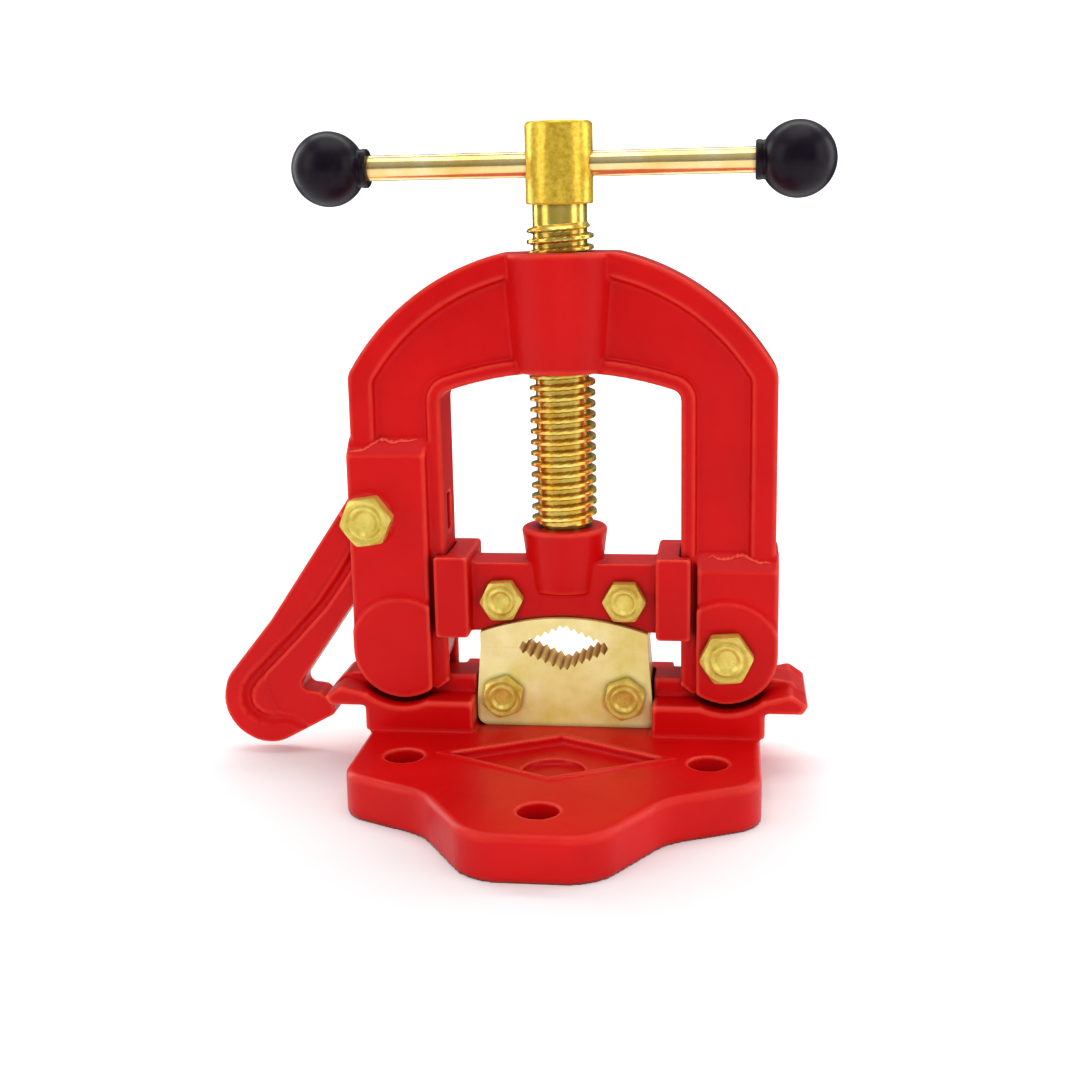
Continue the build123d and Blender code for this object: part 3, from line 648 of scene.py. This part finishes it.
# %% Six bolts with their nuts, and two washers
M8 = {"size": 8.0, "flats": 14.0, "head": 5.3, "pitch": 1.25}
M10 = {"size": 10.0, "flats": 17.0, "head": 6.4, "pitch": 1.5}
WASHER_ACROSS = 20.0
sets = [("lower_jaw_bolt_left", "lower_jaw_nut_left", M8, 20.0, "base"),
        ("lower_jaw_bolt_right", "lower_jaw_nut_right", M8, 20.0, "base"),
        ("upper_jaw_bolt_left", "upper_jaw_nut_left", M8, 3.0, "slider"),
        ("upper_jaw_bolt_right", "upper_jaw_nut_right", M8, 0.0, "slider"),
        ("hinge_bolt", "hinge_nut", M10, 4.0, "yoke"),
        ("hook_pivot_bolt", "hook_pivot_nut", M10, 8.0, "yoke")]
for bolt_node, nut_node, kind, turn, body in sets:
    at = centre_of(bolt_node)
    front, end = span_y(bolt_node)
    nut_face, nut_end = span_y(nut_node)
    bolt(bolt_node + "_threaded", at.x, at.z, front + kind["head"], end, kind["size"], kind["flats"],
         kind["head"], kind["pitch"], turn, body, bolt_node)
    nut(nut_node + "_chamfered", at.x, at.z, nut_face, kind["size"], kind["flats"],
        nut_end - nut_face, turn, body, nut_node)
for node in ("hinge_washer", "hook_pivot_washer"):
    at = centre_of(node)
    face, back = span_y(node)
    washer(node + "_punched", at.x, at.z, face, M10["size"], WASHER_ACROSS, back - face, "yoke", node)
print("fastener sets:", len(sets))

# %% [markdown]
# ## The screw
#
# The screw is turned from one bar. From below it has a plain end in the
# slider, a coarse trapezoid thread of 4 mm pitch, a neck and a thick head
# with a cross hole for the bar. Radius as a function of height and angle
# gives thread and shaft in one grid; the thread fades in and out within a
# turn, as a tool leaves it. The cross hole is cut with a Boolean.

# %% The threaded shaft
SCREW_COLUMNS = 96
PITCH, ROOT, OUTER, ROWS_PER_PITCH = 4.0, 9.75, 12.0, 20
THREAD_LOW, THREAD_HIGH, FADE_IN, FADE_OUT = 92.0, 201.0, 2.0, 3.0
SCREW_CREST, SCREW_FOOT = 0.13, 0.33

heights = np.arange(THREAD_LOW + PITCH / ROWS_PER_PITCH, THREAD_HIGH, PITCH / ROWS_PER_PITCH)[:, None]
ridge = thread_depth(heights - THREAD_LOW, SCREW_COLUMNS, PITCH, SCREW_CREST, SCREW_FOOT)
ridge = ridge * ridge * (3 - 2 * ridge)
fade_up = np.clip((heights - THREAD_LOW) / FADE_IN, 0, 1)
fade_down = np.clip((THREAD_HIGH - heights) / FADE_OUT, 0, 1)
threaded = ROOT + (OUTER - ROOT) * ridge * fade_up * fade_down
even = np.ones((1, SCREW_COLUMNS))
lower = np.array([[7.7, 74.3], [8.5, 75.1], [8.5, 80.6], [6.1, 80.6], [6.1, 85.4], [8.5, 85.4],
                  [8.5, 91.9], [9.35, 91.9], [ROOT, 92.1]])
upper = np.array([[ROOT, 201.2], [ROOT, 207.3], [9.4, 207.6]])
radius = np.concatenate([lower[:, :1] * even, threaded, upper[:, :1] * even])
height = np.concatenate([lower[:, 1:] * even, heights * even, upper[:, 1:] * even])
shaft = turned_piece("screw_shaft", radius, height, UP, (0, 0, 0))
finish_piece(shaft, screw_metal, "screw", "plated_screw", TURNED_EDGE, "screw")
print("screw shaft faces:", len(shaft.data.polygons))

# %% The head with its cross hole
BAR_HEIGHT, BAR_RADIUS, HEAD_RADIUS = 220.8, 4.5, 12.0
HOLE_GAP, CUTTER_PAST = 0.1, 2.0

head_profile = np.array([[10.9, 207.0], [11.6, 207.15], [HEAD_RADIUS, 207.6], [HEAD_RADIUS, 234.2],
                         [11.7, 234.9], [11.0, 235.4], [9.6, 235.5], [1.0, 235.5]])
head = turned_piece("screw_head", head_profile[:, :1] * even, head_profile[:, 1:] * even, UP, (0, 0, 0))
reach = HEAD_RADIUS + CUTTER_PAST
cutter = turned_piece("hole_cutter", np.full((2, SCREW_COLUMNS), BAR_RADIUS + HOLE_GAP),
                      np.array([[-reach], [reach]]), RIGHT, (0, 0, BAR_HEIGHT))
hole = head.modifiers.new("cross hole", "BOOLEAN")
hole.operation, hole.solver, hole.object = "DIFFERENCE", "EXACT", cutter
apply_modifiers(head)
bpy.data.objects.remove(cutter)
finish_piece(head, head_metal, "screw", "plated_screw", CHAMFERED_EDGE)

# %% [markdown]
# ## Bar and knobs
#
# The bar is drawn, polished steel. Each knob is a moulded ball with a short
# collar; its profile is an arc of the ball that runs into the collar.

# %% The sliding bar
BAR_COLUMNS = 96
ring = np.ones((1, BAR_COLUMNS))
half_bar = np.array([[4.5, 0.0], [4.5, 35.0], [4.5, 71.0], [3.0, 71.0], [3.0, 79.5], [2.5, 80.0]])
bar_profile = np.concatenate([half_bar[:0:-1] * (1, -1), half_bar])
bar = turned_piece("handle_bar_polished", bar_profile[:, :1] * ring, bar_profile[:, 1:] * ring, RIGHT,
                   (0, 0, BAR_HEIGHT))
finish_piece(bar, bar_metal, "handle", "plated_bar", TURNED_EDGE, "handle_bar")

# %% The two knobs
KNOB_X, BALL, COLLAR, COLLAR_FACE = 83.3, 13.3, 6.9, 68.6
COLLAR_ANGLE, POLE_ANGLE, BALL_ROWS = np.radians(149), 0.03, 60

arc = np.linspace(COLLAR_ANGLE, POLE_ANGLE, BALL_ROWS)
ball_profile = np.stack([BALL * np.sin(arc), KNOB_X + BALL * np.cos(arc)], axis=-1)
collar_profile = np.array([[4.6, COLLAR_FACE + 0.4], [4.9, COLLAR_FACE], [COLLAR - 0.5, COLLAR_FACE],
                           [COLLAR, COLLAR_FACE + 0.5], [COLLAR, COLLAR_FACE + 1.9],
                           [COLLAR - 0.25, COLLAR_FACE + 2.3]])
knob_profile = np.concatenate([collar_profile, ball_profile])
for side, facing in (("left", LEFT), ("right", RIGHT)):
    ball = turned_piece("knob_" + side + "_moulded", knob_profile[:, :1] * ring,
                        knob_profile[:, 1:] * ring, facing, (0, 0, BAR_HEIGHT))
    finish_piece(ball, knob_plastic, "handle", "black_knobs", TURNED_EDGE, "knob_" + side)

# %% [markdown]
# ## Casting marks
#
# Where a leg's thick pad runs out into the web, the photograph shows a thin
# wrinkled ridge that the sand mould left. It is a bead with tapered ends: a
# straight turned piece along X whose points then move to a wavy line on the
# pad's slope.

# %% The two wrinkled ridges
BEAD_RADIUS, BEAD_ROWS, BEAD_COLUMNS, BEAD_TIP = 0.75, 80, 12, 0.004
WRINKLE, WRINKLE_TURN, WRINKLE_QUICK = 0.25, 23, 61
PAD_FACE, PAD_SLOPE = -15.0, 6.2 / 6.0
RIDGES = {
    "left": (119.0, [[-77.0, 120.4], [-72.0, 121.0], [-70.1, 122.0], [-68.2, 123.2], [-66.3, 124.1],
                     [-64.4, 124.3], [-62.6, 123.5], [-60.7, 123.3], [-58.8, 123.9], [-56.0, 123.8],
                     [-52.5, 124.4]]),
    "right": (77.0, [[53.2, 81.2], [54.6, 82.0], [56.4, 81.1], [58.9, 80.9], [61.4, 81.2], [63.6, 81.9],
                     [65.7, 82.2], [68.6, 80.9], [71.5, 79.9], [73.6, 80.1], [75.6, 79.9]]),
}

for hand, (pad_top, line) in RIDGES.items():
    line = np.array(line)
    reach = np.linspace(line[0, 0], line[-1, 0], BEAD_ROWS)[:, None]
    share = np.linspace(BEAD_TIP, 1 - BEAD_TIP, BEAD_ROWS)[:, None]
    wrinkle = 1 + WRINKLE * np.sin(share * WRINKLE_TURN) * np.cos(share * WRINKLE_QUICK)
    radius = BEAD_RADIUS * np.sqrt(np.sin(np.pi * share)) * wrinkle * np.ones((1, BEAD_COLUMNS))
    ridge = turned_piece("casting_ridge_" + hand, radius, reach, RIGHT, (0, 0, 0))
    points = read_points(ridge.data)
    high = np.interp(points[:, 0], line[:, 0], line[:, 1])
    points[:, 1] += PAD_FACE + (high - pad_top) * PAD_SLOPE
    points[:, 2] += high
    write_points(ridge.data, points)
    finish_piece(ridge, enamel, "yoke", "red_enamel", WRINKLED_EDGE)

# %% [markdown]
# ## Floor and light
#
# The vise stands on a pale sweep that curves up behind it. The room is dim at
# eye level and brighter overhead, so rods show a dark band. Large soft
# lights give the enamel long gentle highlights. The fill from the front lights
# the faces but doesn't mirror in them: the side behind the camera stays dark
# in the metals, which is what gives plating its contrast.

# %% A seamless sweep
SWEEP_WIDTH, SWEEP_FRONT, SWEEP_BACK, SWEEP_HIGH, SWEEP_CURVE = 6.0, -3.0, 1.6, 3.2, 0.9
FLOOR_SEAM, BEND_ROWS = 0.3, 24

paper = new_material("matt_white_paper", {"Base Color": linear("#FAFAFA"), "Roughness": 0.9})[0]


def paper_strip(name, along, rise, mirrored):
    """A strip of the sweep through points (along, rise) in Y and Z; the metals may see it or not."""
    left = np.stack([np.full_like(along, -SWEEP_WIDTH / 2), along, rise], axis=-1)
    count = len(along)
    strip = np.arange(count - 1)
    faces = np.stack([strip, strip + count, strip + count + 1, strip + 1], axis=-1)
    mesh = bpy.data.meshes.new(name)
    mesh.from_pydata(np.concatenate([left, left * (-1, 1, 1)]).tolist(), [], faces.tolist())
    mesh.polygons.foreach_set("use_smooth", np.ones(len(faces), bool))
    mesh.materials.append(paper)
    piece = bpy.data.objects.new(name, mesh)
    bpy.context.scene.collection.objects.link(piece)
    piece.visible_glossy = mirrored


bend = np.linspace(0, np.pi / 2, BEND_ROWS)
curve = SWEEP_BACK - SWEEP_CURVE + SWEEP_CURVE * np.sin(bend)
paper_strip("near floor", np.array([SWEEP_FRONT, FLOOR_SEAM]), np.zeros(2), True)
paper_strip("far sweep", np.concatenate([[FLOOR_SEAM], curve, [SWEEP_BACK]]),
            np.concatenate([[0.0], SWEEP_CURVE * (1 - np.cos(bend)), [SWEEP_HIGH]]), False)


# %% Soft lights
def soft_light(name, place, aim, width, tall, watts):
    """An area light at `place` that faces `aim`, in metres."""
    lamp = bpy.data.lights.new(name, "AREA")
    lamp.shape, lamp.size, lamp.size_y, lamp.energy = "RECTANGLE", width, tall, watts
    light = bpy.data.objects.new(name, lamp)
    bpy.context.scene.collection.objects.link(light)
    light.location = place
    light.rotation_euler = (Vector(aim) - Vector(place)).to_track_quat("-Z", "Y").to_euler()
    light.visible_camera = False
    return light


middle = (0.0, 0.0, 0.11)
soft_light("left box", (-0.9, -0.55, 0.55), middle, 0.5, 0.9, 2.9)
soft_light("right box", (0.95, -0.35, 0.45), middle, 0.4, 0.8, 2.0)
soft_light("left edge", (-0.85, 0.38, 0.35), middle, 0.25, 0.9, 3.2)
soft_light("right edge", (0.95, 0.35, 0.35), middle, 0.25, 0.9, 3.2)
soft_light("top box", (0.05, -0.15, 1.15), middle, 0.9, 0.7, 3.6)
fill = soft_light("front fill", (0.25, -1.4, 0.36), middle, 0.9, 0.5, 7.0)
fill.visible_glossy = False
soft_light("back wash", (0.0, 0.75, 1.3), (0.0, 1.5, 0.3), 1.8, 0.6, 22)

# %% The dim room
ROOM_DIM, ROOM_BRIGHT, BRIGHT_FROM = 0.06, 0.42, 0.7

room = bpy.data.worlds.new("dim room")
bpy.context.scene.world = room
room.use_nodes = True
backdrop = room.node_tree.nodes["Background"]
backdrop.inputs["Color"].default_value = linear("#F4F6FA")
aim = add_node(room, "TexCoord").outputs["Generated"]
climb = add_node(room, "SeparateXYZ", links={"Vector": aim}).outputs["Z"]
glow = carry_over(room, climb, ROOM_DIM, ROOM_BRIGHT, 0.0, BRIGHT_FROM)
room.node_tree.links.new(glow, backdrop.inputs["Strength"])
bpy.context.scene.view_settings.view_transform = "Standard"

# %% [markdown]
# ## Camera
#
# The camera's place was worked out from the photograph: from known points on
# the vise, such as the foot's holes, the bolts and the ends of the screw. It
# stands to the right of the middle, looks down a little, and is rolled by about
# one degree.

# %% The photograph's view
AZIMUTH, PITCH_DOWN, ROLL = 0.1293, 0.2219, -0.020
EYE = Vector((61.08, -542.03, 208.28)) * mm
LENS, SENSOR = 50.09, 36.0

forward = Vector((-np.sin(AZIMUTH) * np.cos(PITCH_DOWN), np.cos(AZIMUTH) * np.cos(PITCH_DOWN),
                  -np.sin(PITCH_DOWN)))
level = Vector((np.cos(AZIMUTH), np.sin(AZIMUTH), 0))
upright = level.cross(forward)
right_hand = np.cos(ROLL) * level + np.sin(ROLL) * upright
upward = -np.sin(ROLL) * level + np.cos(ROLL) * upright
lens = bpy.data.cameras.new("camera")
lens.lens, lens.sensor_width, lens.sensor_fit = LENS, SENSOR, "AUTO"
lens.clip_start, lens.clip_end = 0.01, 20.0
camera = bpy.data.objects.new("camera", lens)
bpy.context.scene.collection.objects.link(camera)
turn = Matrix((right_hand, upward, -forward)).transposed().to_4x4()
camera.matrix_world = Matrix.Translation(EYE) @ turn
bpy.context.scene.camera = camera
